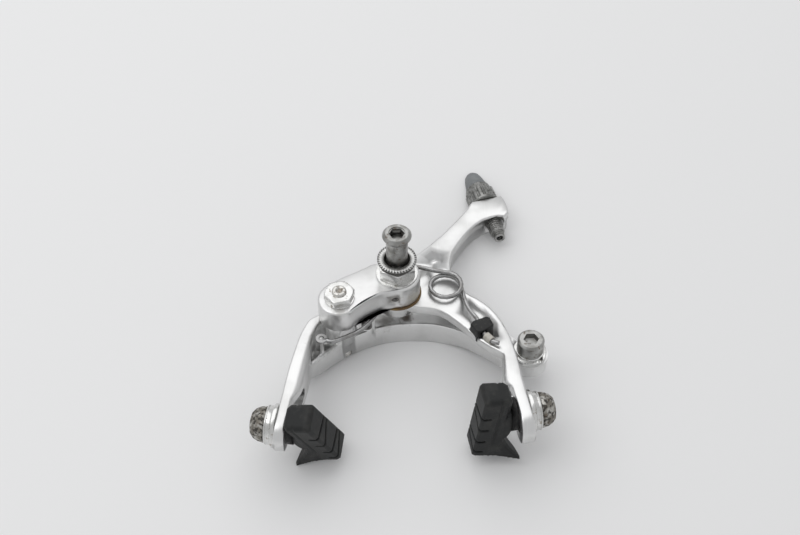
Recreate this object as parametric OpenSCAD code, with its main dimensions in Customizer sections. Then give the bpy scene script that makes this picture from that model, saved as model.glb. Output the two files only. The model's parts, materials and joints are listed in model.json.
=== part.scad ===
// Dual-pivot caliper brake for a bicycle rim, in millimetres.
// The origin is the centre of the mounting face on the mounting bolt's axis. +Z points along the bolt to
// the bicycle's frame, +Y away from the pads, and +X to the side of the cable.

/* [Bracket] */
// Thickness of the bracket that carries both arms
bracket_t = 10; // [8:0.5:12]
// Radius of the bracket round the mounting bolt
mount_boss_r = 8.8; // [8.4:0.1:9.2]
// Distance of the side pivot to the left of the mounting bolt
pivot_dx = 21.8; // [21:0.1:22.6]
// Distance of the side pivot below the mounting bolt
pivot_dy = 11.2; // [10.4:0.1:12]

/* [Mounting bolt] */
// Diameter of the mounting bolt
bolt_d = 6; // [5:0.1:6.4]
// Width of the lock nut across its flats
lock_nut_af = 13; // [11:0.5:14]
// Height of the lock nut
lock_nut_h = 5; // [4:0.25:6]
// Diameter of the flat washer
washer_d = 15.9; // [14:0.1:17]
// Thickness of the flat washer
washer_t = 1.1; // [0.8:0.1:1.6]
// Diameter of the toothed washer
tooth_d = 14.7; // [13.6:0.1:16]
// Height of the toothed washer
tooth_h = 2.5; // [1.8:0.1:3]
// Number of notches in the toothed washer's rim
tooth_count = 40; // [24:2:48]
// Thickness of the shims between the bracket and the arms
shim_t = 0.6; // [0.4:0.1:1]
// Diameter of the recessed nut's sleeve
sleeve_d = 8; // [7.4:0.1:8.4]
// Distance from the mounting face to the recessed nut's end
sleeve_top = 13.7; // [12.5:0.1:18]
// Diameter of the recessed nut's head
sleeve_head_d = 10.8; // [10:0.1:12]
// Width across flats of the recessed nut's socket
sleeve_socket_af = 5; // [4:0.5:5.5]

/* [Side pivot] */
// Diameter of the side pivot's bolt
side_bolt_d = 5.3; // [4.8:0.1:5.6]
// Width of the side pivot's nut across its flats
side_nut_af = 10; // [8:0.5:11]
// Height of the side pivot's nut
side_nut_h = 3.2; // [2.5:0.1:4]
// Diameter of the side pivot's washer
side_washer_d = 11; // [10:0.1:12]
// Thickness of the side pivot's washer
side_washer_t = 0.8; // [0.5:0.1:1.2]
// Radius of the bracket round the side pivot
side_boss_r = 8.2; // [7.6:0.1:8.6]

/* [Arms] */
// Width of each leg, from front to rear
leg_w = 14; // [12:0.5:15]
// Thickness of the rear arm's plate
plate_t = 4.4; // [4:0.1:5]
// Radius of the rear arm's hub
hub_r = 7.4; // [7:0.1:8]
// Depth of the front arm's arch from front to rear
arch_depth = 10.4; // [8:0.2:11]
// Width of the slot for each pad's stud
slot_w = 6.2; // [6.1:0.1:7]
// Distance that a pad's stud can travel in its slot
slot_travel = 16; // [10:0.2:17]
// Thickness of the left leg at its slot
left_leg_t = 3.8; // [3:0.1:4.5]
// Thickness of the right leg at its slot
right_leg_t = 4.6; // [3.5:0.1:5.2]

/* [Pads] */
// Length of a brake pad
pad_l = 29.5; // [26:0.5:34]
// Width of a brake pad's rim face
pad_w = 10.4; // [9:0.2:12]
// Thickness of a brake pad without its boss
pad_t = 10.4; // [9.5:0.1:10.8]
// Diameter of the studs
stud_d = 5.8; // [5:0.1:6]
// Height of the rubber washers between pad and leg on the left
left_gap = 3; // [2.8:0.1:3.4]
// Height of the rubber washers between pad and leg on the right
right_gap = 3.5; // [2.8:0.1:4]
// Diameter of the domed nuts
dome_d = 13; // [11:0.2:13.4]
// Height of the stepped washers under the domed nuts
step_h = 3.9; // [3:0.1:6]

/* [Cable adjuster] */
// Outer diameter of the adjuster's ring
ring_d = 12.2; // [11:0.2:13]
// Height of the adjuster's ring
ring_h = 10; // [8:0.2:11]
// Diameter of the adjuster's threaded barrel
barrel_d = 5.8; // [5.4:0.1:6.4]
// Length of the barrel beyond the eye
barrel_tail = 8.2; // [6:0.2:10]
// Height of the rubber cap
cap_h = 8.4; // [7:0.2:10]
// Number of grooves round the adjuster's ring
ring_grooves = 16; // [10:2:20]

/* [Spring] */
// Diameter of the spring's wire
wire_d = 1.7; // [1.4:0.1:1.8]
// Mean radius of the spring's coil
coil_r = 5.95; // [5.4:0.05:6.2]

/* [Cable anchor] */
// Diameter of the anchor bolt's head
anchor_head_d = 10; // [8:0.2:11]
// Height of the anchor bolt's head
anchor_head_h = 6; // [4:0.2:7]
// Diameter of the anchor bolt's shank
anchor_bolt_d = 5; // [4:0.1:6]

/* [Hidden] */
$fn = 48;

// Fits: radial play of a turning joint, axial play between turning faces, and overlap of a cut
play = 0.04;
face_play = 0.05;
cut = 0.1;

// Heights down the mounting bolt, from the frame to the front
nut_z = -tooth_h;
washer_z = nut_z - lock_nut_h;
bracket_z = washer_z - washer_t;
bracket_front_z = bracket_z - bracket_t;
arm_z = bracket_front_z - shim_t;
plate_front_z = arm_z - plate_t;
hub_front_z = plate_front_z - 1.8;
bolt_head_h = 1.7;
arch_z = hub_front_z - bolt_head_h - 0.5;
nose_z = arch_z - arch_depth;
leg_front_z = arm_z - leg_w;
stud_z = arm_z - leg_w / 2;
horn_front_z = arm_z - 10.3;

// Places seen from the rear
side_pivot = [-pivot_dx, -pivot_dy];
left_stud = [-45.3, -54.6];
right_stud = [44.4, -53.1];
left_tilt = 11.5;
right_tilt = 7;
anchor = [48.2, -26.4];
adjuster_seat = [38.7, 48.6];
adjuster_tilt = 13.2;
adjuster_z = arm_z - 4.8;
coil_at = [18.6, 0.2];
toe_r = 3.2;
toe_at = [-12.07, -3.5];
toe_z = [arm_z - 5.9, arm_z - 2.4];
toe_web = toe_r - 0.6;
screw_z = arm_z - 4.3;
spring_pin = [-29.1, -20.6];
c_boss_r = 5.9;
left_end = 2.1;
right_end = 4.8;

// Bushes
bush_wall = 1;
y_bush_r = bolt_d / 2 + play + bush_wall;
c_bush_r = side_bolt_d / 2 + play + bush_wall;
side_head_h = 2.6;
side_head_r = 4.8;
side_head_z = nose_z + 3;

// Cable anchor's stack
anchor_boss_r = 6.8;
anchor_boss_z = arm_z - 7.4;
clamp_plate_t = 1.7;
clamp_washer_t = 0.9;
clamp_plate_r = 6.2;
clamp_washer_r = 5.3;
anchor_head_z = anchor_boss_z + clamp_plate_t + clamp_washer_t;

// Smooth open curve through the rows of p, in n steps a span
function spline(p, n) =
  let (last = len(p) - 1)
  [
    for (i = [0 : last - 1], k = [0 : n - 1])
      let (t = k / n, a = p[max(i - 1, 0)], b = p[i], c = p[i + 1], d = p[min(i + 2, last)])
      0.5 * (2 * b + (c - a) * t + (2 * a - 5 * b + 4 * c - d) * t * t + (3 * b - a - 3 * c + d) * t * t * t),
    p[last]
  ];

function arc(c, r, a0, a1, n) = [for (k = [0 : n]) c + r * [cos(a0 + (a1 - a0) * k / n), sin(a0 + (a1 - a0) * k / n)]];
function unit(v) = v / norm(v);
function left_of(v) = [-v.y, v.x];

// Direction of a closed or open line at its point i
function along(p, i) =
  unit([for (k = [0, 1]) p[min(i + 1, len(p) - 1)][k] - p[max(i - 1, 0)][k]]);

// Solid through rings of equally many points; flip turns it when the rings run clockwise
module skin(rings, flip = false) {
  n = len(rings[0]);
  m = len(rings);
  sides = [
    for (i = [0 : m - 2], j = [0 : n - 1])
      let (a = i * n + j, b = i * n + (j + 1) % n, c = b + n, d = a + n)
      each [[a, d, c], [a, c, b]]
  ];
  caps = [[for (j = [0 : n - 1]) j], [for (j = [n - 1 : -1 : 0]) (m - 1) * n + j]];
  faces = concat(sides, caps);
  polyhedron(
    [for (r = rings, p = r) p],
    flip ? [for (f = faces) [for (k = [len(f) - 1 : -1 : 0]) f[k]]] : faces,
    convexity = 8
  );
}

// Corner of a section: quarter circle of radius r round [u, z] from angle a
function corner(u, z, r, a) = [for (k = [0 : 3]) [u + r * cos(a + k * 30), z + r * sin(a + k * 30)]];

// Section of a blade: thickness t, from z0 to z1, edges of radius r, the inner rear edge of radius ri
function section(t, z0, z1, r, ri) = concat(
  corner(t - r, z0 + r, r, 270),
  corner(t - ri, z1 - ri, ri, 0),
  corner(r, z1 - r, r, 90),
  corner(r, z0 + r, r, 180)
);

// Blade swept through rows of [x, y, thickness, front z, rear z, inner rear radius]. The line of x and y
// is its outer edge, and its thickness lies to the left of it, or to the right where side is 1.
module blade(rows, side, r) {
  rings = [
    for (i = [0 : len(rows) - 1])
      let (w = rows[i], across = -side * left_of(along(rows, i)))
      [
        for (q = section(w[2], w[3], w[4], min(r, w[2] / 2.5, (w[4] - w[3]) / 2.5), min(w[5], w[2] / 2.2, (w[4] - w[3]) / 2.2)))
          [w.x + across.x * q.x, w.y + across.y * q.x, q.y]
      ]
  ];
  skin(rings, side == 1);
}

// Closed line p moved inwards by d
function inset(p, d) =
  let (n = len(p))
  [
    for (i = [0 : n - 1])
      let (
        a = unit(p[i] - p[(i + n - 1) % n]),
        b = unit(p[(i + 1) % n] - p[i]),
        c = unit(left_of(a) + left_of(b))
      )
      p[i] + c * d / max(0.6, c * left_of(a))
  ];

// Plate with the outline p, from z0 to z1, its edges rounded by r
module rounded_plate(p, z0, z1, r) {
  levels = [
    for (a = [90, 45, 0]) [z0 + r * (1 - sin(a)), r * (1 - cos(a))],
    for (a = [0, 45, 90]) [z1 - r * (1 - sin(a)), r * (1 - cos(a))]
  ];
  skin([for (l = levels) let (q = inset(p, l[1])) [for (v = q) [v.x, v.y, l[0]]]]);
}

// Wire of diameter d along the points p
module wire(p, d, sides = 10) {
  rings = [
    for (i = [0 : len(p) - 1])
      let (
        t = unit(p[min(i + 1, len(p) - 1)] - p[max(i - 1, 0)]),
        a = unit(cross(t, [0, 0, 1])),
        b = cross(t, a)
      )
      [for (k = [0 : sides - 1]) p[i] + d / 2 * (a * cos(360 * k / sides) + b * sin(360 * k / sides))]
  ];
  skin(rings);
}

// Joins sculpted forms into one shell, at their own size
module shell() {
  resize([0, 0, 0])
    union()
      children();
}

module tube(r_out, r_in, z0, z1) {
  translate([0, 0, z0])
    difference() {
      cylinder(r = r_out, h = z1 - z0);
      translate([0, 0, -cut])
        cylinder(r = r_in, h = z1 - z0 + 2 * cut);
    }
}

module hexagon(af, h) {
  cylinder(d = af / cos(30), h = h, $fn = 6);
}

// Nut with chamfered corners
module nut(af, bore, h) {
  difference() {
    intersection() {
      hexagon(af, h);
      rotate_extrude()
        polygon([[0, 0], [af * 0.5, 0], [af * 0.58, h * 0.12], [af * 0.58, h * 0.88], [af * 0.5, h], [0, h]]);
    }
    translate([0, 0, -cut])
      cylinder(d = bore, h = h + 2 * cut);
  }
}

// Bracket

module bracket_plate() {
  near = [side_pivot.x, side_pivot.y];
  outline = concat(
    arc([0, 0], mount_boss_r, -95, 138, 18),
    spline([[-9.4, 5.4], [-12.6, 3.4], near + [0.3, 10.1]], 3),
    arc(near + [0.1, 0.3], side_boss_r, 125, 285, 12),
    spline([near + [3.8, -6.9], near + [9, -2.1], [-6.8, -9.8]], 3)
  );
  rounded_plate(outline, bracket_front_z, bracket_z, 0.8);
}

module pivot_bracket() {
  color("silver")
    difference() {
      bracket_plate();
      translate([0, 0, bracket_front_z - cut])
        cylinder(d = bolt_d, h = bracket_t + 2 * cut);
      translate([side_pivot.x, side_pivot.y, bracket_front_z - cut])
        cylinder(d = side_bolt_d, h = bracket_t + 2 * cut);
      grub_screw_place()
        translate([0, 0, -2])
          cylinder(d = grub_d, h = grub_l + 2);
    }
}

grub_d = 3;
grub_l = 3.4;

// The grub screw stands in the bracket's lower wall and points at the mounting bolt
module grub_screw_place() {
  translate([-1.1, -mount_boss_r + 0.5, bracket_z - bracket_t / 2])
    rotate([-90, 0, 0])
      children();
}

module bracket_grub_screw() {
  color("dimgray")
    grub_screw_place()
      difference() {
        cylinder(d = grub_d, h = grub_l);
        translate([0, 0, -cut])
          hexagon(1.5, 1.2 + cut);
      }
}

// Pieces on the mounting bolt

module centre_bolt() {
  shank_z = sleeve_top - 3;
  color("gainsboro") {
    difference() {
      union() {
        translate([0, 0, hub_front_z - face_play])
          cylinder(d = bolt_d, h = shank_z - 0.6 - hub_front_z + face_play);
        translate([0, 0, shank_z - 0.6])
          cylinder(d1 = bolt_d, d2 = bolt_d - 1.2, h = 0.6);
        translate([0, 0, hub_front_z - face_play - bolt_head_h])
          cylinder(r1 = 5, r2 = 5.5, h = 0.5);
        translate([0, 0, hub_front_z - face_play - bolt_head_h + 0.5])
          cylinder(r = 5.5, h = bolt_head_h - 0.5);
      }
      translate([0, 0, hub_front_z - face_play - bolt_head_h - cut])
        hexagon(5, 1.2 + cut);
    }
  }
}

module flat_washer() {
  color("silver")
    tube(washer_d / 2, bolt_d / 2, bracket_z, washer_z);
}

module lock_nut() {
  color("silver")
    translate([0, 0, washer_z])
      rotate(30)
        nut(lock_nut_af, bolt_d, lock_nut_h);
}

module toothed_washer() {
  r = tooth_d / 2;
  color("gray")
    difference() {
      rotate_extrude()
        polygon([
          [bolt_d / 2, -tooth_h], [r - 1.6, -tooth_h], [r, -0.7], [r, 0], [sleeve_d / 2 + 0.9, 0],
          [sleeve_d / 2 + 0.6, -tooth_h + 0.5], [bolt_d / 2, -tooth_h + 0.5]
        ]);
      for (k = [0 : tooth_count - 1])
        rotate(k * 360 / tooth_count)
          translate([r - 0.8, -0.3, -0.45])
            cube([1, 0.6, 1]);
    }
}

module recessed_nut() {
  r = sleeve_d / 2;
  head = sleeve_head_d / 2;
  neck_z = sleeve_top - 6.9;
  cone = [for (k = [0 : 4]) [r + (head - r) * (1 - cos(k * 22.5)), neck_z + (sleeve_top - 1.7 - neck_z) * sin(k * 22.5)]];
  color("gainsboro")
    difference() {
      rotate_extrude()
        polygon(concat(
          [[bolt_d / 2, -0.5], [r, -0.5]], cone,
          [[head, sleeve_top - 1.2], [head - 1.1, sleeve_top], [bolt_d / 2, sleeve_top]],
          [[bolt_d / 2, sleeve_top - 0.4], [sleeve_socket_af / 2 - 0.6, sleeve_top - 0.4]],
          [[sleeve_socket_af / 2 - 0.6, sleeve_top - 3], [bolt_d / 2, sleeve_top - 3]]
        ));
      translate([0, 0, sleeve_top - 3])
        hexagon(sleeve_socket_af, 3 + cut);
    }
}

module rear_shim() {
  color("peru")
    tube(9.3, bolt_d / 2, arm_z, bracket_front_z);
}

// Pieces on the side pivot

module side_shim() {
  color("peru")
    translate(side_pivot)
      tube(c_boss_r, side_bolt_d / 2, arm_z, bracket_front_z);
}

module side_pivot_bolt() {
  end_z = bracket_z + side_washer_t + side_nut_h + 0.8;
  color("saddlebrown")
    translate(side_pivot)
      difference() {
        union() {
          translate([0, 0, side_head_z - face_play])
            cylinder(d = side_bolt_d, h = end_z - 0.4 - side_head_z + face_play);
          translate([0, 0, end_z - 0.4])
            cylinder(d1 = side_bolt_d, d2 = side_bolt_d - 0.8, h = 0.4);
          translate([0, 0, side_head_z - face_play - side_head_h])
            cylinder(r = side_head_r, h = side_head_h);
        }
        translate([0, 0, side_head_z - face_play - side_head_h - cut])
          hexagon(4, 1.8 + cut);
        translate([0, 0, end_z - 0.8])
          cylinder(d1 = 1.4, d2 = 2.8, h = 0.8 + cut);
      }
}

module side_pivot_washer() {
  color("dimgray")
    translate(side_pivot)
      tube(side_washer_d / 2, side_bolt_d / 2, bracket_z, bracket_z + side_washer_t);
}

module side_pivot_nut() {
  color("silver")
    translate([side_pivot.x, side_pivot.y, bracket_z + side_washer_t])
      rotate(10)
        nut(side_nut_af, side_bolt_d, side_nut_h);
}

// Legs. A leg is straight round its stud, and ends in a half circle that is concentric with its slot.

function leg_way(side, tilt) = [side * sin(tilt), -cos(tilt)];
function leg_point(stud, side, tilt, s) = stud + s * leg_way(side, tilt);

// Rows of the straight part, from [distance past the stud, thickness, inner rear radius]
function foot_rows(stud, side, tilt, rows) = [
  for (w = rows)
    let (p = leg_point(stud, side, tilt, w[0]))
    [p.x, p.y, w[1], leg_front_z, arm_z, w[2]]
];

// Rows of the half circle at the end, round the point at the distance s past the stud
function end_rows(stud, side, tilt, s, t) = [
  for (a = [15 : 15 : 75])
    let (p = leg_point(stud, side, tilt, s + leg_w / 2 * sin(a)), h = leg_w / 2 * cos(a))
    [p.x, p.y, t, stud_z - h, stud_z + h, 0.7]
];

// Stud's frame: its origin on the leg's outer face, +Z away from the wheel
module on_stud(stud, side, tilt) {
  translate([stud.x, stud.y, stud_z])
    rotate([0, 0, side > 0 ? tilt : 180 - tilt])
      rotate([0, 90, 0])
        children();
}

module leg_slot(stud, side, tilt, s) {
  on_stud(stud, side, tilt)
    translate([0, -side * s, -12])
      for (k = [0, 1])
        if (k == 0) {
          for (e = [0, slot_travel])
            translate([0, side * e, 0])
              cylinder(d = slot_w, h = 16);
        } else {
          translate([-slot_w / 2, side > 0 ? 0 : -slot_travel, 0])
            cube([slot_w, slot_travel, 16]);
        }
}

// Front arm

left_leg_rows = concat(
  spline(concat([
    [side_pivot.x - 5.4, side_pivot.y + 3, 2.6, nose_z, arm_z, 0.8],
    [side_pivot.x - 10, side_pivot.y + 0.8, 4.2, nose_z, arm_z, 1.2],
    [-34.1, -12.5, 4.5, nose_z, arm_z, 1.2],
    [-36.3, -17, 4.8, nose_z + 0.4, arm_z, 1.5],
    [-37.9, -21.6, 5.2, nose_z + 1.5, arm_z, 1.9],
    [-40.8, -32.6, 6.3, leg_front_z - 0.8, arm_z, 2.8],
    [-42.6, -41, 6.3, leg_front_z - 0.2, arm_z, 2.8]],
    foot_rows(left_stud, -1, left_tilt, [[-10.5, left_leg_t + 1.4, 1.9], [-7.6, left_leg_t + 0.2, 1], [-6.3, left_leg_t, 0.8], [left_end, left_leg_t, 0.7]])), 3),
  end_rows(left_stud, -1, left_tilt, left_end, left_leg_t)
);

// Rows along the arch's lower edge, from the left leg to the cable anchor
arch_rows = spline([
  [-34.3, -28, 4, leg_front_z - 2, arch_z - 0.8, 0.6],
  [-30, -23.5, 7.5, nose_z, arch_z - 0.8, 0.6],
  [-25.9, -20.1, 10, nose_z, arch_z - 0.8, 0.6],
  [-21.3, -16.7, 12, nose_z, arch_z - 0.8, 0.6],
  [-16, -13.8, 11, nose_z, arch_z - 0.8, 0.6],
  [-8.4, -10.8, 10, nose_z, arch_z - 0.8, 0.6],
  [0, -9.4, 9.5, nose_z, arch_z - 0.8, 0.6],
  [10, -9.7, 9.5, nose_z, arch_z - 0.8, 0.6],
  [16, -10.8, 10, nose_z, arch_z - 0.8, 0.6],
  [23.7, -14, 11, nose_z + 1, arch_z - 0.8, 0.6],
  [28.7, -18.2, 12, nose_z + 2.5, arch_z - 0.8, 0.6],
  [34.6, -24.6, 12, nose_z + 4.5, arch_z - 0.8, 0.6],
  [40, -29.8, 12, nose_z + 5.4, arch_z - 0.8, 0.6],
  [46, -32.8, 9, nose_z + 6, arch_z - 0.8, 0.6]
], 2);

rim_rows = [for (w = arch_rows) [w.x, w.y, 1.3, arch_z - 3, arch_z, 0.3]];

module c_arm() {
  color("darkgray")
    difference() {
      union() {
        shell() {
          blade(left_leg_rows, -1, 0.7);
          blade(arch_rows, -1, 0.6);
          blade(rim_rows, -1, 0.3);
        }
        translate([side_pivot.x, side_pivot.y, arch_z - 2])
          cylinder(r = c_boss_r, h = arm_z - arch_z + 2);
        translate([anchor.x, anchor.y, nose_z + 5.6])
          cylinder(r = anchor_boss_r, h = anchor_boss_z - nose_z - 5.6);
        translate([toe_at.x - 3, side_pivot.y - 0.4, arch_z - 2])
          cube([6, 3.4, screw_z + 2.1 - arch_z + 2]);
        translate([spring_pin.x, spring_pin.y, arch_z - 2])
          cylinder(r = 0.8, h = arm_z - 0.5 - arch_z + 2);
      }
      leg_slot(left_stud, -1, left_tilt, left_end);
      translate([side_pivot.x, side_pivot.y, nose_z - cut])
        cylinder(r = c_bush_r, h = arm_z - nose_z + 2 * cut);
      translate([side_pivot.x, side_pivot.y, nose_z - cut])
        cylinder(r = side_head_r + 0.4, h = side_head_z - nose_z + cut);
      translate([anchor.x, anchor.y, nose_z])
        cylinder(d = anchor_bolt_d, h = arch_depth + 3);
      centring_screw_place()
        translate([0, 0, -cut])
          cylinder(d = screw_d, h = screw_l + 14);
    }
}

module c_bush() {
  color("peru")
    translate(side_pivot)
      tube(c_bush_r, side_bolt_d / 2 + play, side_head_z, arm_z - face_play);
}

screw_d = 4;
screw_l = 6;
screw_gap = 0.25;

// The centring screw's frame: origin at its socket, +Z towards the rear arm's toe
module centring_screw_place() {
  translate([toe_at.x, toe_at.y - toe_r - screw_gap - screw_l, screw_z])
    rotate([-90, 0, 0])
      children();
}

module centring_screw() {
  color("dimgray")
    centring_screw_place()
      difference() {
        cylinder(d = screw_d, h = screw_l);
        translate([0, 0, -cut])
          hexagon(2, 1.8 + cut);
      }
}

module anchor_bolt() {
  color("gray")
    translate([anchor.x, anchor.y, anchor_head_z])
      difference() {
        union() {
          cylinder(d = anchor_head_d, h = anchor_head_h - 0.8);
          translate([0, 0, anchor_head_h - 0.8])
            cylinder(d1 = anchor_head_d, d2 = anchor_head_d - 1.6, h = 0.8);
          translate([0, 0, nose_z + 5.6 - anchor_head_z])
            cylinder(d = anchor_bolt_d, h = anchor_head_z - nose_z - 5.6);
        }
        translate([0, 0, anchor_head_h - 2.6])
          hexagon(5, 2.6 + cut);
      }
}

module clamp_washer() {
  color("silver")
    translate(anchor)
      tube(clamp_washer_r, anchor_bolt_d / 2, anchor_head_z - clamp_washer_t, anchor_head_z);
}

// Clamp plate with a groove for the cable beside the bolt
module clamp_plate() {
  groove_r = 0.9;
  color("silver")
    difference() {
      translate(anchor)
        tube(clamp_plate_r, anchor_bolt_d / 2, anchor_boss_z, anchor_boss_z + clamp_plate_t);
      translate([anchor.x + anchor_bolt_d / 2 + groove_r, anchor.y, anchor_boss_z + clamp_plate_t])
        rotate([90, 0, 0])
          translate([0, 0, -clamp_plate_r - 1])
            cylinder(r = groove_r, h = 2 * clamp_plate_r + 2);
    }
}

// Rear arm

right_leg_rows = concat(
  spline(concat([
    [39.3, -18.3, 4.5, plate_front_z, arm_z, 0.8],
    [41, -24.3, 4.2, plate_front_z - 2, arm_z, 0.8],
    [42, -30, 4.6, plate_front_z - 3.2, arm_z, 0.8],
    [42.6, -34.7, 5.4, plate_front_z - 3.8, arm_z, 1.2],
    [43, -39, 6.4, plate_front_z - 7.6, arm_z, 2]],
    foot_rows(right_stud, 1, right_tilt, [[-11, right_leg_t + 2.1, 2.6], [-8.6, right_leg_t + 1, 1.9], [-6.4, right_leg_t, 0.9], [right_end, right_leg_t, 0.7]])), 3),
  end_rows(right_stud, 1, right_tilt, right_end, right_leg_t)
);

// The horn's inner edge, from the plate up to the eye, and the eye's own end, placed from the adjuster's seat
function by_eye(p) = [for (q = p) adjuster_seat + q];
horn_edge = concat([[21.4, 10.3], [22.3, 17.5], [24.7, 22.8], [30.3, 31]], by_eye([[-2.4, -12], [4, -9.9], [6.6, -10.4]]));
eye_end = concat(by_eye(spline([[8.5, -8.2], [8.3, -4.6], [7.3, -0.4]], 2)), by_eye([[6.3, 1.46], [-5.9, -1.4]]));
eye_outside = by_eye([[-7.2, -3.4], [-8.5, -5.8]]);

// Outline of the plate, counterclockwise from the hub
plate_outline = concat(
  arc([0, 0], hub_r - 0.4, 128, 295, 12),
  spline([[7.6, -7.9], [13.7, -9], [18.5, -11.8], [25.1, -19.2], [29.5, -25], [36.5, -31], [40, -32.8]], 2),
  spline(concat([[41.9, -31.5], [41.1, -25.3], [38.7, -16.3], [35, -9.4], [30.8, -4.8], [26.6, -1.5], [23.8, 4.5]],
    horn_edge), 2),
  eye_end,
  spline(concat(eye_outside, [[18.9, 28.9], [9.2, 19.7], [1.5, 12.2]]), 2)
);

// Outline of the deep part under the plate, a lip's width inside its edge
lip = 0.5;
horn_outline = inset(concat(
  spline([for (k = [1 : len(horn_edge) - 1]) horn_edge[k]], 2),
  eye_end,
  spline(concat(eye_outside, [[25.5, 35], [20, 24]]), 2)
), lip);

pocket_depth = 2.9;
pocket = [[24.5, -4.5], [26, -12], [28, -19], [30, -24], [37, -24], [36.3, -17], [33, -10.5], [27.5, -4.5]];
eye_l = 10.3;
eye_bore_r = barrel_d / 2 + play;
eye_recess_r = eye_bore_r + 1.25;

// The adjuster's frame: origin on its seat, +Z up along it
module on_adjuster() {
  translate([adjuster_seat.x, adjuster_seat.y, adjuster_z])
    rotate([0, 0, adjuster_tilt])
      rotate([-90, 0, 0])
        children();
}

module y_arm() {
  color("silver")
    difference() {
      union() {
        shell()
          difference() {
            union() {
              rounded_plate(plate_outline, plate_front_z, arm_z, 0.8);
              rounded_plate(horn_outline, horn_front_z, arm_z - 1.5, 0.8);
              blade(right_leg_rows, 1, 0.7);
            }
            on_adjuster()
              translate([0, 0, -eye_l - 3])
                cylinder(r = eye_recess_r, h = 5);
          }
        translate([0, 0, hub_front_z])
          cylinder(r = hub_r, h = arm_z - hub_front_z);
        translate([toe_at.x, toe_at.y, toe_z[0]])
          cylinder(r = toe_r, h = toe_z[1] - toe_z[0]);
        translate([toe_at.x, toe_at.y, toe_z[0]])
          rotate(atan2(-toe_at.y, -toe_at.x))
            translate([0, -toe_web, 0])
              cube([norm(toe_at), 2 * toe_web, toe_z[1] - toe_z[0]]);
        translate([15.7, 14.3, arm_z - 0.5])
          cylinder(r = 2.2, h = 1.6);
      }
      leg_slot(right_stud, 1, right_tilt, right_end);
      translate([0, 0, hub_front_z - cut])
        cylinder(r = y_bush_r, h = arm_z - hub_front_z + 2 * cut);
      translate([0, 0, arm_z - pocket_depth])
        linear_extrude(pocket_depth + cut)
          polygon(pocket);
      translate([0, 0, arm_z - pocket_depth - face_play])
        linear_extrude(pocket_depth + face_play + cut)
          polygon(inset(guide_outline, -0.06));
      on_adjuster()
        translate([0, 0, -eye_l - 3])
          cylinder(r = eye_bore_r, h = eye_l + 4);
    }
}

module y_bush() {
  color("peru")
    tube(y_bush_r, bolt_d / 2 + play, hub_front_z, arm_z - face_play);
}

// Cable adjuster

module adjuster_ring() {
  collar_h = 1.2;
  neck_h = 2.4;
  r = ring_d / 2;
  color("silver")
    on_adjuster()
      difference() {
        rotate_extrude()
          polygon([
            [eye_bore_r, face_play], [r - 0.3, face_play], [r, 0.4], [r, ring_h - neck_h - 0.5],
            [r - 0.6, ring_h - neck_h], [r - 0.9, ring_h - neck_h], [r - 0.9, ring_h - 0.4], [r - 1.4, ring_h],
            [eye_bore_r, ring_h]
          ]);
        for (k = [0 : ring_grooves - 1])
          rotate(k * 360 / ring_grooves)
            translate([r + 0.15, 0, collar_h])
              cylinder(r = 0.7, h = ring_h - neck_h - collar_h + cut, $fn = 8);
      }
}

module adjuster_barrel() {
  tip = 2.6;
  r = barrel_d / 2;
  top = ring_h + face_play + cap_h - 2;
  color("gainsboro")
    on_adjuster()
      rotate_extrude()
        polygon([
          [1.4, -eye_l - barrel_tail], [2.2, -eye_l - barrel_tail], [2.2, -eye_l - barrel_tail + tip],
          [r, -eye_l - barrel_tail + tip + 0.4], [r, ring_h + face_play], [r - 0.9, ring_h + face_play],
          [r - 0.9, top], [1.4, top]
        ]);
}

// Rubber cap on the barrel's upper end, with a hole for the cable
module adjuster_cap() {
  base = 4.55;
  top = 3.1;
  z0 = ring_h + face_play;
  side = [for (k = [0 : 4]) [base - 0.3 - (base - 0.3 - top) * (1 - cos(k * 20)) / (1 - cos(80)), z0 + 1.4 + (cap_h - 2.6) * k / 4]];
  color("dimgray")
    on_adjuster()
      rotate_extrude()
        polygon(concat(
          [[barrel_d / 2 - 0.9, z0], [base, z0], [base, z0 + 1.2]], side,
          [[top - 0.9, z0 + cap_h], [1.5, z0 + cap_h], [1.5, z0 + cap_h - 2], [barrel_d / 2 - 0.9, z0 + cap_h - 2]]
        ));
}

// Spring

coil_top_z = arm_z + 3.5;
coil_pitch = wire_d + 0.12;
coil_turns = 1.25;
guide_way = unit([2.1, -8.6]);
guide_in = [29.2, -16.2];
guide_out = guide_in + 6.8 * guide_way;
wire_z = coil_top_z - coil_pitch * coil_turns;
sleeve_wall = 0.5;
sleeve_z = arm_z + wire_d / 2 + 0.2 + sleeve_wall + 0.3;

function coil_point(a) =
  [coil_at.x + coil_r * cos(90 - a), coil_at.y + coil_r * sin(90 - a), coil_top_z - coil_pitch * a / 360];

spring_path = concat(
  spline([
    [spring_pin.x + 1.8, spring_pin.y - 0.6, arm_z - 1], [-25.6, -21.9, arm_z - 1], [-21.8, -20.9, arm_z - 1], [-13.8, -16.6, arm_z - 1],
    [-7.9, -8.4, arm_z - 1], [-8.6, -3, arm_z - 1], [-9.4, 2, arm_z - 1], [-8.2, 6.4, arm_z - 0.3],
    [-3.6, 9.8, arm_z + 1.8], [3, 10.6, coil_top_z], [9, 9.2, coil_top_z], [14, 7.4, coil_top_z]], 3),
  [for (a = [0 : 22.5 : coil_turns * 360]) coil_point(a)],
  spline([
    [25.2, -5, wire_z], [26.4, -10.6, wire_z + 0.1],
    [guide_in.x, guide_in.y, wire_z + 0.2], [guide_out.x, guide_out.y, sleeve_z],
    [guide_out.x + 2.7, guide_out.y - 4.2, sleeve_z], [guide_out.x + 5.4, guide_out.y - 5.4, sleeve_z]], 3)
);

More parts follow.
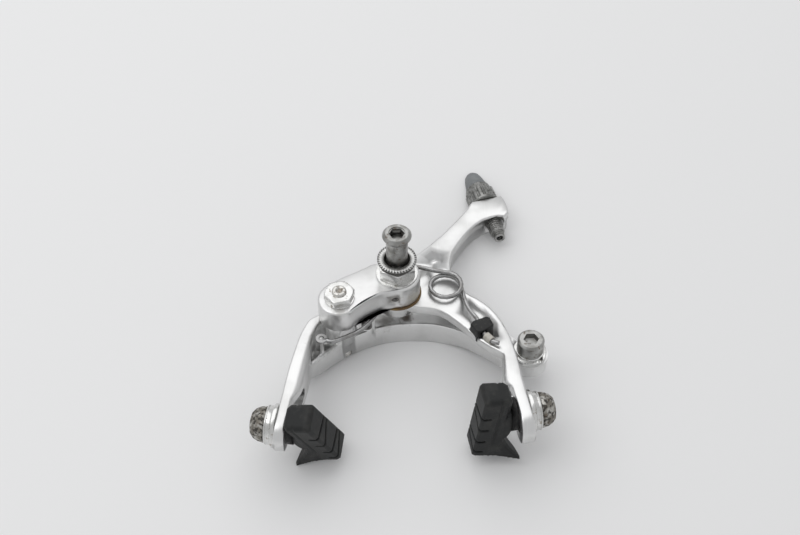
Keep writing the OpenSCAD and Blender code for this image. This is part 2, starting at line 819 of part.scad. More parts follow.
module return_spring() {
  color("darkgray") {
    difference() {
      union() {
        wire(spring_path, wire_d);
        translate([spring_pin.x, spring_pin.y, arm_z - 1.5])
          cylinder(r = 2.1, h = 1);
      }
      translate([spring_pin.x, spring_pin.y, arm_z - 3])
        cylinder(r = 1, h = 4);
    }
  }
}

guide_outline = [[28.5, -23.8], [30.3, -23.6], [34, -21.4], [34.8, -20.6], [33.5, -17], [32.4, -16.5], [27.3, -18.4], [26.2, -20]];
guide_top_z = sleeve_z + wire_d / 2 + 0.8;

module spring_guide() {
  color("black")
    difference() {
      translate([0, 0, arm_z - pocket_depth])
        linear_extrude(guide_top_z - arm_z + pocket_depth)
          polygon(guide_outline);
      translate([guide_in.x, guide_in.y, (wire_z + sleeve_z) / 2 + 0.1])
        rotate([0, 0, atan2(guide_way.y, guide_way.x)])
          rotate([0, 90, 0])
            translate([0, 0, -4])
              cylinder(r = wire_d / 2 + 0.45, h = 20);
    }
}

module spring_sleeve() {
  a = spring_path[len(spring_path) - 6];
  b = spring_path[len(spring_path) - 4];
  d = b - a;
  color("beige")
    translate(a)
      rotate([0, 0, atan2(d.y, d.x)])
        rotate([0, 90 - atan2(d.z, norm([d.x, d.y])), 0])
          difference() {
            cylinder(r = wire_d / 2 + 0.2 + sleeve_wall, h = norm(d));
            translate([0, 0, -cut])
              cylinder(r = wire_d / 2 + 0.2, h = norm(d) + 2 * cut);
          }
}

// Pads. In a pad's own frame +X points to the tyre, +Y to the rear and +Z to the rim, and the origin
// is the centre of the face that rubs the rim.

left_reach = left_leg_t + left_gap + pad_t + 0.6;
right_reach = right_leg_t + right_gap + pad_t + 0.6;
seat_r = 14;
inner_washer_d = 12;
inner_washer_h = 2.6;

module on_pad(stud, side, tilt, reach, toe, roll) {
  n0 = [-side * cos(tilt), -sin(tilt), 0];
  u0 = [-side * sin(tilt), cos(tilt), 0];
  l0 = [0, 0, 1];
  l1 = cos(roll) * l0 + sin(roll) * u0;
  u = cos(roll) * u0 - sin(roll) * l0;
  n = cos(toe) * n0 + sin(toe) * l1;
  l = cos(toe) * l1 - sin(toe) * n0;
  c = [stud.x, stud.y, stud_z] + reach * n0;
  multmatrix([[u.x, l.x, n.x, c.x], [u.y, l.y, n.y, c.y], [u.z, l.z, n.z, c.z], [0, 0, 0, 1]])
    children();
}

// Half of a pad's section, [width, depth], and where the hub side of it goes in the tail's tip
function pad_ring(y, flare, shrink) =
  let (
    w = pad_w / 2,
    b = -pad_t,
    body = [
      [-w, -0.8], [-w, -5.9], [-w + 0.5, -6.3], [-w + 0.5, -6.8], [-w, -7.2], [-w + 0.2, b + 1.4], [-w + 1.6, b],
      [w - 1.6, b], [w - 0.2, b + 1.4], [w, -7.2], [w - 0.5, -6.8], [w - 0.5, -6.3], [w, -5.9], [w, -0.8],
      [w - 0.8, 0], [-w + 0.8, 0]
    ],
    tail = [
      [-w, -1.2], [-w - 0.2, -7.2], [-w - 0.3, -8.4], [-w - 0.6, -10], [-w - 1.2, -12.5], [-w - 2.8, -17.5],
      [-w - 1.4, -17.9], [-w + 3.5, -16.6], [w - 0.4, b - 1], [w, -7.2], [w - 0.5, -6.8], [w - 0.5, -6.3], [w, -5.9], [w, -0.8],
      [w - 0.8, 0], [-w + 0.8, 0]
    ],
    k = 1 - shrink / w
  )
  [for (i = [0 : len(body) - 1]) let (q = body[i] + (tail[i] - body[i]) * flare) [q.x * k, y, b / 2 + (q.y - b / 2) * k]];

module pad_groove(y_hub, y_tyre) {
  w = pad_w / 2 + cut;
  a = [-w, pad_l / 2 - y_hub];
  b = [w, pad_l / 2 - y_tyre];
  translate([a.x, a.y, 0])
    rotate(atan2(b.y - a.y, b.x - a.x)) {
      translate([0, -0.45, -1.1])
        cube([norm(b - a), 0.9, 1.2]);
      translate([-1, -0.45, -3.7])
        cube([2, 0.9, 3.8]);
    }
}

module pad(stud, side, tilt, reach, leg_t, gap, toe, roll) {
  start = -4;
  front = -pad_l / 2;
  rear = pad_l / 2;
  rings = concat(
    [for (k = [6 : -1 : 1]) let (y = start + (front - start) * k / 6) pad_ring(y, pow(k / 6, 2), 0)],
    [pad_ring(start, 0, 0), pad_ring(rear - 2, 0, 0)],
    [for (a = [30, 60, 85]) pad_ring(rear - 2 + 2 * sin(a), 0, 2 * (1 - cos(a)))]
  );
  color("dimgray")
    difference() {
      union() {
        difference() {
          on_pad(stud, side, tilt, reach, toe, roll)
            difference() {
              skin(rings, true);
              for (g = [[9.3, 10.6], [15.5, 12.3], [21.7, 22.7], [27.3, 24.4]])
                pad_groove(g[0], g[1]);
            }
          on_stud(stud, side, tilt)
            translate([0, 0, -leg_t - inner_washer_h - 2 * face_play])
              cylinder(d = inner_washer_d + 0.4, h = inner_washer_h + 6);
        }
        intersection() {
          on_pad(stud, side, tilt, reach, toe, roll)
            for (k = [-1, 0, 1])
              if (k == 0)
                translate([-pad_w / 2 + 0.4, -4.4, -pad_t - 4])
                  cube([pad_w - 0.8, 8.8, 5]);
              else
                translate([0, 4.4 * k, -pad_t - 4])
                  cylinder(d = pad_w - 0.8, h = 5);
          on_stud(stud, side, tilt)
            translate([0, 0, -leg_t - 1.2 - seat_r])
              sphere(r = seat_r);
        }
      }
      on_stud(stud, side, tilt)
        translate([0, 0, -leg_t - gap - 4])
          cylinder(d = stud_d, h = 12);
    }
}

module pad_stud(stud, side, tilt, leg_t, gap) {
  color("gray")
    on_stud(stud, side, tilt)
      translate([0, 0, -leg_t - gap - 4])
        cylinder(d = stud_d, h = leg_t + gap + 4 + step_h + 4);
}

module inner_washer(stud, side, tilt, leg_t) {
  color("black")
    on_stud(stud, side, tilt)
      difference() {
        translate([0, 0, -leg_t - inner_washer_h])
          cylinder(d = inner_washer_d, h = inner_washer_h - face_play);
        translate([0, 0, -leg_t - 1.2 - seat_r])
          sphere(r = seat_r);
        translate([0, 0, -leg_t - 4])
          cylinder(d = stud_d, h = 6);
      }
}

module outer_washer(stud, side, tilt) {
  color("lightgray")
    on_stud(stud, side, tilt)
      rotate_extrude()
        polygon([
          [stud_d / 2, 0], [8, 0], [8, 1.3], [7.3, 1.7], [6.9, step_h - 0.7], [7.2, step_h - 0.5], [7, step_h], [stud_d / 2, step_h]
        ]);
}

module dome_nut(stud, side, tilt) {
  r = dome_d / 2;
  dome_h = 5.3;
  color("peru")
    on_stud(stud, side, tilt)
      difference() {
        translate([0, 0, step_h])
          rotate_extrude()
            polygon(concat(
              [[0, 0], [r - 0.3, 0]],
              [for (k = [0 : 4]) [2.6 + (r - 2.6) * cos(k * 22.5), 0.5 + dome_h * sin(k * 22.5)]],
              [[0, 0.5 + dome_h]]
            ));
        translate([0, 0, step_h - 1])
          cylinder(d = stud_d, h = 5);
      }
}

left_toe = 18.3;
left_roll = -15.75;
right_toe = 8.1;
right_roll = 3;

module left_pad() {
  pad(left_stud, -1, left_tilt, left_reach, left_leg_t, left_gap, left_toe, left_roll);
}

module left_pad_stud() {
  pad_stud(left_stud, -1, left_tilt, left_leg_t, left_gap);
}

module left_inner_washer() {
  inner_washer(left_stud, -1, left_tilt, left_leg_t);
}

module left_outer_washer() {
  outer_washer(left_stud, -1, left_tilt);
}

module left_dome_nut() {
  dome_nut(left_stud, -1, left_tilt);
}

module right_pad() {
  pad(right_stud, 1, right_tilt, right_reach, right_leg_t, right_gap, right_toe, right_roll);
}

module right_pad_stud() {
  pad_stud(right_stud, 1, right_tilt, right_leg_t, right_gap);
}

module right_inner_washer() {
  inner_washer(right_stud, 1, right_tilt, right_leg_t);
}

module right_outer_washer() {
  outer_washer(right_stud, 1, right_tilt);
}

module right_dome_nut() {
  dome_nut(right_stud, 1, right_tilt);
}

pivot_bracket();
bracket_grub_screw();
centre_bolt();
flat_washer();
lock_nut();
toothed_washer();
recessed_nut();
rear_shim();
side_shim();
side_pivot_bolt();
side_pivot_washer();
side_pivot_nut();
y_arm();
y_bush();
spring_guide();
spring_sleeve();
return_spring();
adjuster_ring();
adjuster_barrel();
adjuster_cap();
c_arm();
c_bush();
centring_screw();
anchor_bolt();
clamp_washer();
clamp_plate();
left_pad();
left_pad_stud();
left_inner_washer();
left_outer_washer();
left_dome_nut();
right_pad();
right_pad_stud();
right_inner_washer();
right_outer_washer();
right_dome_nut();
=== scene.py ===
# %% [markdown]
# A dual-pivot caliper brake, dressed for a studio photograph.
#
# The solids of the brake come in as a fixed frame: every piece already has its real size and place.
# This lesson gives each of them its surface, softens the edges of the turned, pressed and moulded ones,
# and lights the brake softly on a pale floor.

# %% Load the brake
import json
import math

import bpy
from mathutils import Matrix, Vector


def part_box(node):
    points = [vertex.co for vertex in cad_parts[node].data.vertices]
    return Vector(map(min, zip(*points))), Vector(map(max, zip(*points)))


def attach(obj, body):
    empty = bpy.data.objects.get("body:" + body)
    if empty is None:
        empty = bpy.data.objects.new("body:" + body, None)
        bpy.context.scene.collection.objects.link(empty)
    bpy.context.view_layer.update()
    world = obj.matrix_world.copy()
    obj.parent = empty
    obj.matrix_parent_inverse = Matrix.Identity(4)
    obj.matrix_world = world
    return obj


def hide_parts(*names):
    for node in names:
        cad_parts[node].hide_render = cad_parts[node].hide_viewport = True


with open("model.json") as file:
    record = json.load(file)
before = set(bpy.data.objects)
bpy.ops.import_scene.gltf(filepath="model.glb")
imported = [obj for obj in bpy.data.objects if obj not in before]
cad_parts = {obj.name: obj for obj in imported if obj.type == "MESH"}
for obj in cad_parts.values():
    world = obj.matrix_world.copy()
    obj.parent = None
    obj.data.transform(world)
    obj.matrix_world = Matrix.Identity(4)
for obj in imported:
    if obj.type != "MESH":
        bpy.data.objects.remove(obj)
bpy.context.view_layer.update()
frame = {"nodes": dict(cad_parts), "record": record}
MM = 0.001

# %% [markdown]
# The camera looks down on the brake at 48 degrees, from the side of the pads. Its place follows from
# three facts read off the photograph: the focal length in pixels, the pixel where the mounting bolt meets
# the mounting face, and how many pixels a millimetre takes there. The brake lies turned by 3 degrees.

# %% Camera
SENSOR_WIDTH = 36
VIEW_PX = (800, 535)
FOCAL_PX = 1300
ORIGIN_PX = (396.9, 258.2)
PX_PER_MM = 2.70
ELEVATION = math.radians(48)
TURN = math.radians(3)

distance = FOCAL_PX / PX_PER_MM * MM
right = Vector((1, 0, 0))
ahead = Vector((0, math.cos(ELEVATION), -math.sin(ELEVATION)))
up = Vector((0, math.sin(ELEVATION), math.cos(ELEVATION)))
aside = (ORIGIN_PX[0] - VIEW_PX[0] / 2) / FOCAL_PX * distance
above = (VIEW_PX[1] / 2 - ORIGIN_PX[1]) / FOCAL_PX * distance
unturn = Matrix.Rotation(-TURN, 3, "Z")
place = unturn @ -(ahead * distance + right * aside + up * above)
facing = unturn @ Matrix((right, up, -ahead)).transposed()

camera_data = bpy.data.cameras.new("camera")
camera_data.sensor_width = SENSOR_WIDTH
camera_data.lens = SENSOR_WIDTH * FOCAL_PX / VIEW_PX[0]
camera_data.clip_start = 0.01
camera = bpy.data.objects.new("camera", camera_data)
camera.matrix_world = Matrix.Translation(place) @ facing.to_4x4()
bpy.context.collection.objects.link(camera)
bpy.context.scene.camera = camera
print("camera at", [round(v, 4) for v in place])

# %% [markdown]
# The floor is a plain pale board. The brake lies on the two pads' tips and on the nose of the front arm,
# so the board touches both heights. The main lamp is as large as a window: its own surface is hardly
# brighter than the board, so the metal mirrors it without burning out. A narrow lamp on the left draws
# the bright lines along the rounded edges, and the dimmer world gives the metal its greys.

# %% Floor and light
TIPS_Y = -0.060
NOSE_Y = -0.012
FLOOR_GAP = 0.0002


def floor_material():
    m = bpy.data.materials.new("pale_floor")
    m.use_nodes = True
    shader = m.node_tree.nodes["Principled BSDF"]
    shader.inputs["Base Color"].default_value = (0.83, 0.83, 0.83, 1)
    shader.inputs["Roughness"].default_value = 0.55
    shader.inputs["Specular IOR Level"].default_value = 0.2
    return m


def add_floor():
    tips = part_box("left_pad")[0].z
    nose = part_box("c_arm")[0].z
    slope = (nose - tips) / (NOSE_Y - TIPS_Y)
    bpy.ops.object.select_all(action="DESELECT")
    bpy.ops.mesh.primitive_plane_add(size=6, location=(0, 0, 0))
    floor = bpy.context.object
    floor.name = "floor"
    for v in floor.data.vertices:
        v.co.z = tips + slope * (v.co.y - TIPS_Y) - FLOOR_GAP
    floor.data.materials.append(floor_material())
    return slope


def add_lamp(name, where, size, power):
    data = bpy.data.lights.new(name, "AREA")
    data.shape = "RECTANGLE"
    data.size, data.size_y = size
    data.energy = power
    lamp = bpy.data.objects.new(name, data)
    lamp.location = where
    lamp.rotation_euler = (-Vector(where)).to_track_quat("-Z", "Y").to_euler()
    bpy.context.collection.objects.link(lamp)


floor_slope = add_floor()
add_lamp("main_lamp", (-0.25, 0.35, 1.0), (1.95, 1.4), 6.7)
add_lamp("strip_lamp", (-0.5, -0.1, 0.6), (0.08, 0.5), 0.3)
world = bpy.data.worlds.new("studio")
bpy.context.scene.world = world
world.use_nodes = True
background = world.node_tree.nodes["Background"]
background.inputs["Color"].default_value = (0.985, 0.99, 1, 1)
background.inputs["Strength"].default_value = 0.62
bpy.context.scene.view_settings.view_transform = "Standard"
print("floor slope", round(floor_slope, 4))

# %% [markdown]
# Six effects come back in the finishes, so each is a node group that is built once.
# "blotches" is a soft mask, such as uneven polish. "specks" is a mask of small spots, for rust and dirt.
# "scratches" is a mask of fine lines along one direction, made of noise that is stretched. "stain" marks
# one place, "ridges" are the turns of a thread, for its relief and its painted shade, and "notch_shade"
# finds the floors of notches, where painted shade goes.
# All read Object coordinates, so they stay on the metal when the arms move.

# %% Effects as node groups
def new_group(name, inputs):
    group = bpy.data.node_groups.new(name, "ShaderNodeTree")
    for label, value in inputs.items():
        socket = group.interface.new_socket(name=label, in_out="INPUT", socket_type="NodeSocketFloat")
        socket.default_value = value
    group.interface.new_socket(name="Mask", in_out="OUTPUT", socket_type="NodeSocketFloat")
    start = group.nodes.new("NodeGroupInput")
    end = group.nodes.new("NodeGroupOutput")
    return group, start, end


def noise_mask(name, stretch, detail, inputs):
    group, start, end = new_group(name, inputs)
    nodes, links = group.nodes, group.links
    coordinates = nodes.new("ShaderNodeTexCoord")
    mapping = nodes.new("ShaderNodeMapping")
    mapping.inputs["Scale"].default_value = stretch
    noise = nodes.new("ShaderNodeTexNoise")
    noise.inputs["Detail"].default_value = detail
    ramp = nodes.new("ShaderNodeMapRange")
    ramp.interpolation_type = "SMOOTHSTEP"
    links.new(coordinates.outputs["Object"], mapping.inputs["Vector"])
    links.new(mapping.outputs["Vector"], noise.inputs["Vector"])
    links.new(start.outputs["Scale"], noise.inputs["Scale"])
    links.new(noise.outputs["Fac"], ramp.inputs["Value"])
    links.new(start.outputs["From"], ramp.inputs["From Min"])
    links.new(start.outputs["To"], ramp.inputs["From Max"])
    links.new(ramp.outputs["Result"], end.inputs["Mask"])
    return group


blotches = noise_mask("blotches", (1, 1, 1), 3, {"Scale": 120, "From": 0.45, "To": 0.7})
specks = noise_mask("specks", (1, 1, 1), 6, {"Scale": 1400, "From": 0.58, "To": 0.68})
scratches = noise_mask("scratches", (1, 0.06, 0.3), 4, {"Scale": 1500, "From": 0.5, "To": 0.75})


# A stain round one place on the brake: 1 at the place, 0 past its reach, torn at the edge by noise
TEAR_SCALE = 700


def make_stain():
    group, start, end = new_group("stain", {"X": 0, "Y": 0, "Z": 0, "Reach": 0.004})
    nodes, links = group.nodes, group.links
    coordinates = nodes.new("ShaderNodeTexCoord")
    centre = nodes.new("ShaderNodeCombineXYZ")
    gap = nodes.new("ShaderNodeVectorMath")
    gap.operation = "DISTANCE"
    noise = nodes.new("ShaderNodeTexNoise")
    noise.inputs["Scale"].default_value = TEAR_SCALE
    noise.inputs["Detail"].default_value = 4
    torn = nodes.new("ShaderNodeMath")
    torn.operation = "MULTIPLY"
    doubled = nodes.new("ShaderNodeMath")
    doubled.operation = "MULTIPLY"
    doubled.inputs[1].default_value = 2
    fade = nodes.new("ShaderNodeMapRange")
    fade.interpolation_type = "SMOOTHSTEP"
    fade.inputs["To Min"].default_value = 1
    fade.inputs["To Max"].default_value = 0
    for axis in "XYZ":
        links.new(start.outputs[axis], centre.inputs[axis])
    links.new(coordinates.outputs["Object"], gap.inputs[0])
    links.new(centre.outputs["Vector"], gap.inputs[1])
    links.new(coordinates.outputs["Object"], noise.inputs["Vector"])
    links.new(noise.outputs["Fac"], doubled.inputs[0])
    links.new(gap.outputs["Value"], torn.inputs[0])
    links.new(doubled.outputs["Value"], torn.inputs[1])
    links.new(torn.outputs["Value"], fade.inputs["Value"])
    links.new(start.outputs["Reach"], fade.inputs["From Max"])
    links.new(fade.outputs["Result"], end.inputs["Mask"])
    return group


stain = make_stain()


# Places are given in millimetres, as they are read off the solids
def place_and_reach(x, y, z, reach):
    return {"X": x * MM, "Y": y * MM, "Z": z * MM, "Reach": reach * MM}


# Evenly spaced ridges along the direction (X, Y, Z), one every pitch: a thread, seen from outside
def make_ridges():
    group, start, end = new_group("ridges", {"X": 0, "Y": 0, "Z": 1, "Pitch": 0.001})
    nodes, links = group.nodes, group.links
    coordinates = nodes.new("ShaderNodeTexCoord")
    way = nodes.new("ShaderNodeCombineXYZ")
    height = nodes.new("ShaderNodeVectorMath")
    height.operation = "DOT_PRODUCT"
    turns = nodes.new("ShaderNodeMath")
    turns.operation = "DIVIDE"
    wave = nodes.new("ShaderNodeMath")
    wave.operation = "PINGPONG"
    wave.inputs[1].default_value = 0.5
    doubled = nodes.new("ShaderNodeMath")
    doubled.operation = "MULTIPLY"
    doubled.inputs[1].default_value = 2
    for axis in "XYZ":
        links.new(start.outputs[axis], way.inputs[axis])
    links.new(coordinates.outputs["Object"], height.inputs[0])
    links.new(way.outputs["Vector"], height.inputs[1])
    links.new(height.outputs["Value"], turns.inputs[0])
    links.new(start.outputs["Pitch"], turns.inputs[1])
    links.new(turns.outputs["Value"], wave.inputs[0])
    links.new(wave.outputs["Value"], doubled.inputs[0])
    links.new(doubled.outputs["Value"], end.inputs["Mask"])
    return group


ridges = make_ridges()


# The mask is 0 above the height From and 1 below To: the floors of notches and the lower sides, for
# painted shade
def make_notch_shade():
    group, start, end = new_group("notch_shade", {"From": 0, "To": -0.0003})
    nodes, links = group.nodes, group.links
    coordinates = nodes.new("ShaderNodeTexCoord")
    parts = nodes.new("ShaderNodeSeparateXYZ")
    fade = nodes.new("ShaderNodeMapRange")
    links.new(coordinates.outputs["Object"], parts.inputs["Vector"])
    links.new(parts.outputs["Z"], fade.inputs["Value"])
    links.new(start.outputs["From"], fade.inputs["From Min"])
    links.new(start.outputs["To"], fade.inputs["From Max"])
    links.new(fade.outputs["Result"], end.inputs["Mask"])
    return group


notch_shade = make_notch_shade()

# %% [markdown]
# A finish is one Principled shader with a base colour, and layers on top of it. Each layer is a mask from
# one of the groups, and where the mask is 1 the colour, the roughness and the metal turn to the layer's.

# %% A finish in layers
def set_or_link(tree, value, socket):
    if isinstance(value, tuple):
        socket.default_value = (*value, 1)
    elif isinstance(value, (int, float)):
        socket.default_value = value
    else:
        tree.links.new(value, socket)


def mix(tree, kind, factor, a, b):
    node = tree.nodes.new("ShaderNodeMix")
    node.data_type = kind
    tree.links.new(factor, node.inputs["Factor"])
    set_or_link(tree, a, node.inputs["A"])
    set_or_link(tree, b, node.inputs["B"])
    return node.outputs["Result"]


def add_group(tree, group, values):
    node = tree.nodes.new("ShaderNodeGroup")
    node.node_tree = group
    for label, value in values.items():
        node.inputs[label].default_value = value
    return node.outputs["Mask"]


def finish(name, colour, metal, roughness, layers=(), bump=None, specular=0.5):
    m = bpy.data.materials.new(name)
    m.use_nodes = True
    tree = m.node_tree
    shader = tree.nodes["Principled BSDF"]
    shader.inputs["Specular IOR Level"].default_value = specular
    tint, rough, metallic = colour, roughness, metal
    for group, values, layer_colour, layer_roughness, layer_metal, strength in layers:
        scaled = tree.nodes.new("ShaderNodeMath")
        scaled.operation = "MULTIPLY"
        scaled.inputs[1].default_value = strength
        tree.links.new(add_group(tree, group, values), scaled.inputs[0])
        mask = scaled.outputs["Value"]
        tint = mix(tree, "RGBA", mask, tint, layer_colour)
        rough = mix(tree, "FLOAT", mask, rough, layer_roughness)
        if metal != layer_metal:
            metallic = mix(tree, "FLOAT", mask, metallic, layer_metal)
    set_or_link(tree, tint, shader.inputs["Base Color"])
    set_or_link(tree, rough, shader.inputs["Roughness"])
    set_or_link(tree, metallic, shader.inputs["Metallic"])
    if bump:
        group, values, height = bump
        relief = tree.nodes.new("ShaderNodeBump")
        relief.inputs["Strength"].default_value = 1
        relief.inputs["Distance"].default_value = height * MM
        tree.links.new(add_group(tree, group, values), relief.inputs["Height"])
        tree.links.new(relief.outputs["Normal"], shader.inputs["Normal"])
    return m


# %% [markdown]
# The arms and the bracket are forged aluminium, polished to a satin sheen: bright, a little uneven, with
# fine scratches and greyer patches. Old grease sits where the front arm passes under the rear one. Round
# the bracket's screw and washers, dirt is mixed with painted shade. One base serves all three, and only
# the dirt and the painted shade differ.

# %% Aluminium
aluminium_layers = [
    (blotches, {"Scale": 90, "From": 0.42, "To": 0.72}, (0.58, 0.58, 0.57), 0.4, 1, 0.6),
    (scratches, {"Scale": 1300, "From": 0.55, "To": 0.8}, (0.84, 0.84, 0.84), 0.45, 1, 0.35),
]
grease = [
    (stain, place_and_reach(3.4, -5.2, -28, 3.4), (0.09, 0.05, 0.02), 0.5, 0, 0.95),
    (stain, place_and_reach(-5, -6.5, -28, 5), (0.2, 0.18, 0.15), 0.6, 0, 0.6),
    (stain, place_and_reach(-28, -19, -24, 7), (0.1, 0.095, 0.08), 0.55, 0.3, 0.6),
]
# Dirt mixed with painted shade: brown and dark patches on the bracket's wall, in the gap under its right
# side and under the side pivot's washer
grime_and_painted_shade = [
    (stain, place_and_reach(-1.1, -9, -13.6, 3.2), (0.16, 0.12, 0.06), 0.6, 0.2, 0.5),
    (stain, place_and_reach(6.5, -6, -16, 6.5), (0.26, 0.21, 0.11), 0.5, 0.3, 0.5),
    (stain, place_and_reach(-21.8, -17, -9, 4), (0.2, 0.18, 0.14), 0.6, 0.2, 0.4),
]


def aluminium(name, dirt=()):
    return finish(name, (0.74, 0.74, 0.735), 1, 0.31, [*aluminium_layers, *dirt],
                  bump=(specks, {"Scale": 2500, "From": 0.4, "To": 0.7}, 0.004))


polished = aluminium("polished_aluminium")
front_arm_metal = aluminium("front_arm_aluminium", grease)
bracket_metal = aluminium("bracket_aluminium", grime_and_painted_shade)

# %% [markdown]
# The fasteners are turned and cold headed steel with a plating. Some of it is still bright and some has
# gone grey. The domed nuts and the side pivot's end are pitted and rusty, and the spring is bare drawn
# wire. Rust is a colour that isn't metal, so its layer lowers the metal too.

# %% Steel
steel = finish("worn_steel", (0.42, 0.42, 0.41), 1, 0.3, [
    (blotches, {"Scale": 260, "From": 0.4, "To": 0.65}, (0.22, 0.215, 0.2), 0.45, 1, 0.7),
    (specks, {"Scale": 900, "From": 0.6, "To": 0.66}, (0.13, 0.09, 0.06), 0.7, 0.2, 0.7)])
bright_steel = finish("bright_steel", (0.72, 0.72, 0.71), 1, 0.2, [
    (blotches, {"Scale": 200, "From": 0.45, "To": 0.7}, (0.52, 0.52, 0.5), 0.32, 1, 0.6),
    (specks, {"Scale": 700, "From": 0.62, "To": 0.68}, (0.2, 0.15, 0.08), 0.7, 0.2, 0.5)])
dark_steel = finish("dark_steel", (0.16, 0.155, 0.15), 1, 0.38, [
    (specks, {"Scale": 900, "From": 0.52, "To": 0.62}, (0.3, 0.29, 0.27), 0.45, 1, 0.6)])
# On the toothed washer, the notch floors and lower sides are darkened: painted shade in the notches
tooth_steel = finish("toothed_washer_steel", (0.66, 0.66, 0.65), 1, 0.32, [
    (blotches, {"Scale": 350, "From": 0.4, "To": 0.65}, (0.5, 0.5, 0.48), 0.4, 1, 0.6),
    (notch_shade, {"From": -0.05 * MM, "To": -0.3 * MM}, (0.09, 0.085, 0.08), 0.5, 1, 0.85)])
pitted = finish("pitted_steel", (0.5, 0.49, 0.46), 1, 0.36, [
    (blotches, {"Scale": 420, "From": 0.36, "To": 0.6}, (0.17, 0.155, 0.13), 0.6, 0.6, 0.9),
    (specks, {"Scale": 800, "From": 0.5, "To": 0.57}, (0.03, 0.027, 0.022), 0.85, 0, 0.9),
    (specks, {"Scale": 500, "From": 0.6, "To": 0.68}, (0.13, 0.09, 0.06), 0.8, 0, 0.6)],
    bump=(specks, {"Scale": 800, "From": 0.4, "To": 0.66}, 0.14))
rusty = finish("rusty_steel", (0.66, 0.65, 0.62), 1, 0.32, [
    (stain, place_and_reach(-21.8, -11.2, -3.9, 1.5), (0.2, 0.12, 0.05), 0.8, 0, 0.9),
    (specks, {"Scale": 1100, "From": 0.58, "To": 0.64}, (0.12, 0.08, 0.04), 0.8, 0, 0.7)],
    bump=(specks, {"Scale": 1100, "From": 0.4, "To": 0.7}, 0.03))
joints = {joint["name"]: joint for joint in frame["record"]["behaviour"]["joints"]}
barrel_way = {**dict(zip("XYZ", joints["adjuster_slide"]["axis"])), "Pitch": 1 * MM}
# The dark bands along the barrel, one per turn of the thread, are painted shade; the bump gives the
# thread its relief
barrel_steel = finish("threaded_barrel", (0.4, 0.4, 0.39), 1, 0.36, [
    (ridges, barrel_way, (0.16, 0.155, 0.145), 0.5, 1, 0.8),
    (specks, {"Scale": 900, "From": 0.55, "To": 0.62}, (0.03, 0.03, 0.028), 0.7, 0, 0.6)],
    bump=(ridges, barrel_way, 0.35))
ring_metal = finish("adjuster_ring_metal", (0.3, 0.3, 0.29), 1, 0.3, [
    (blotches, {"Scale": 500, "From": 0.4, "To": 0.65}, (0.12, 0.12, 0.11), 0.45, 1, 0.5),
    (specks, {"Scale": 900, "From": 0.55, "To": 0.62}, (0.03, 0.03, 0.028), 0.7, 0, 0.7)])
wire_steel = finish("spring_wire", (0.4, 0.4, 0.4), 1, 0.26, [
    (blotches, {"Scale": 300, "From": 0.4, "To": 0.7}, (0.2, 0.19, 0.18), 0.4, 1, 0.6)])
bronze = finish("bronze", (0.26, 0.18, 0.08), 0.5, 0.5, [
    (blotches, {"Scale": 400, "From": 0.4, "To": 0.6}, (0.12, 0.07, 0.04), 0.7, 0.2, 0.7)])

# %% [markdown]
# The pads are black rubber with uneven grey bloom, the cap of the adjuster is a greyer rubber, and the
# spring's block is black plastic. The spring's end runs in a sleeve of paler plastic.

# %% Rubber and plastic
pad_rubber = finish("pad_rubber", (0.016, 0.017, 0.017), 0, 0.5, [
    (blotches, {"Scale": 220, "From": 0.4, "To": 0.7}, (0.04, 0.04, 0.038), 0.6, 0, 0.8)],
    bump=(specks, {"Scale": 1800, "From": 0.35, "To": 0.75}, 0.03), specular=0.25)
cap_rubber = finish("cap_rubber", (0.17, 0.18, 0.185), 0, 0.5, [
    (blotches, {"Scale": 300, "From": 0.4, "To": 0.7}, (0.23, 0.24, 0.24), 0.6, 0, 0.7)],
    bump=(specks, {"Scale": 2500, "From": 0.35, "To": 0.75}, 0.015))
black_plastic = finish("black_plastic", (0.014, 0.014, 0.014), 0, 0.4, [
    (specks, {"Scale": 900, "From": 0.56, "To": 0.64}, (0.05, 0.048, 0.042), 0.6, 0, 0.6)], specular=0.3)
pale_plastic = finish("pale_plastic", (0.5, 0.48, 0.43), 0, 0.4, [
    (blotches, {"Scale": 500, "From": 0.4, "To": 0.65}, (0.34, 0.32, 0.28), 0.5, 0, 0.6)])

FINISHES = {
    "satin_aluminium": polished, "plated_steel": steel, "dark_steel": dark_steel, "rusty_steel": rusty,
    "spring_steel": wire_steel, "bronze": bronze, "black_plastic": black_plastic,
    "pale_plastic": pale_plastic, "cap_rubber": cap_rubber, "pad_rubber": pad_rubber,
}
OWN_FINISH = {
    "c_arm": front_arm_metal, "pivot_bracket": bracket_metal, "flat_washer": bright_steel,
    "left_outer_washer": bright_steel, "right_outer_washer": bright_steel, "adjuster_ring": ring_metal,
    "lock_nut": bright_steel, "side_pivot_nut": bright_steel, "clamp_washer": bright_steel,
    "clamp_plate": bright_steel, "side_pivot_washer": bright_steel,
    "toothed_washer": tooth_steel, "left_dome_nut": pitted, "right_dome_nut": pitted,
    "adjuster_barrel": barrel_steel,
}

# %% [markdown]
# A solid comes in as loose flat triangles, and polished metal shows each of them. So every piece is
# copied, its triangles are joined, and its shading is made smooth up to a sharp edge. Turned and pressed
# pieces also get a small bevel on their edges, which is what catches the light on real ones. The pads are
# moulded rubber, so their whole surface is rebuilt and relaxed instead.

# %% Smooth copies of the solids
SHARP_EDGE = math.radians(35)
BEVELLED_EDGE = math.radians(40)


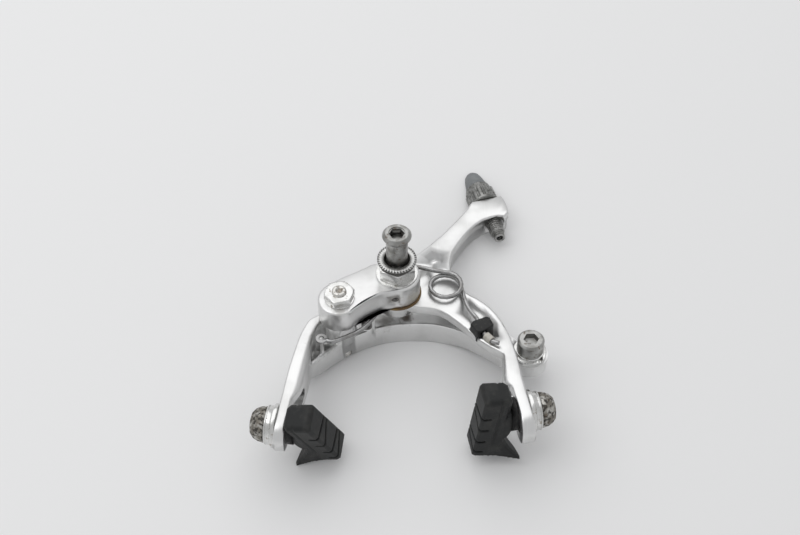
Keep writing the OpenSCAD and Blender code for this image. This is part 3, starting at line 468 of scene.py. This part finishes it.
def smooth_copy(node, bevel=0):
    source = frame["nodes"][node]
    bpy.ops.object.select_all(action="DESELECT")
    piece = source.copy()
    piece.data = source.data.copy()
    piece.parent = None
    piece.name = node + "_dressed"
    bpy.context.collection.objects.link(piece)
    piece.select_set(True)
    bpy.context.view_layer.objects.active = piece
    bpy.ops.object.mode_set(mode="EDIT")
    bpy.ops.mesh.select_all(action="SELECT")
    bpy.ops.mesh.remove_doubles(threshold=1e-6)
    bpy.ops.object.mode_set(mode="OBJECT")
    if bevel:
        rounded = piece.modifiers.new("edges", "BEVEL")
        rounded.width = bevel * MM
        rounded.segments = 2
        rounded.limit_method = "ANGLE"
        rounded.angle_limit = BEVELLED_EDGE
        rounded.use_clamp_overlap = True
        bpy.ops.object.modifier_apply(modifier=rounded.name)
    bpy.ops.object.shade_smooth_by_angle(angle=SHARP_EDGE)
    return piece


# Rubber leaves its mould with soft edges: the surface is rebuilt in small even squares and then relaxed
def mould(piece, grain=0.24, passes=3):
    rebuilt = piece.modifiers.new("rebuilt", "REMESH")
    rebuilt.mode = "VOXEL"
    rebuilt.voxel_size = grain * MM
    relaxed = piece.modifiers.new("relaxed", "SMOOTH")
    relaxed.factor = 0.5
    relaxed.iterations = passes
    bpy.ops.object.modifier_apply(modifier=rebuilt.name)
    bpy.ops.object.modifier_apply(modifier=relaxed.name)
    bpy.ops.object.shade_smooth()


def body_name(node):
    for body, nodes in frame["record"]["behaviour"]["bodies"].items():
        if node in nodes:
            return body


SLOTS = {row["node"]: row["material_slot"] for row in frame["record"]["subparts"]}
BEVELS = {
    "lock_nut": 0.12, "flat_washer": 0.15, "side_pivot_nut": 0.12, "side_pivot_washer": 0.1,
    "clamp_washer": 0.12, "clamp_plate": 0.15, "anchor_bolt": 0.12, "recessed_nut": 0.15,
    "adjuster_ring": 0.1, "spring_guide": 0.5, "left_outer_washer": 0.12, "right_outer_washer": 0.12,
}
dressed = {}
for node in frame["nodes"]:
    piece = smooth_copy(node, bevel=BEVELS.get(node, 0))
    if node in ("left_pad", "right_pad"):
        mould(piece)
    material = OWN_FINISH.get(node) or FINISHES[SLOTS[node]]
    piece.data.materials.clear()
    piece.data.materials.append(material)
    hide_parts(node)
    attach(piece, body_name(node))
    dressed[node] = piece
print("dressed", len(dressed))
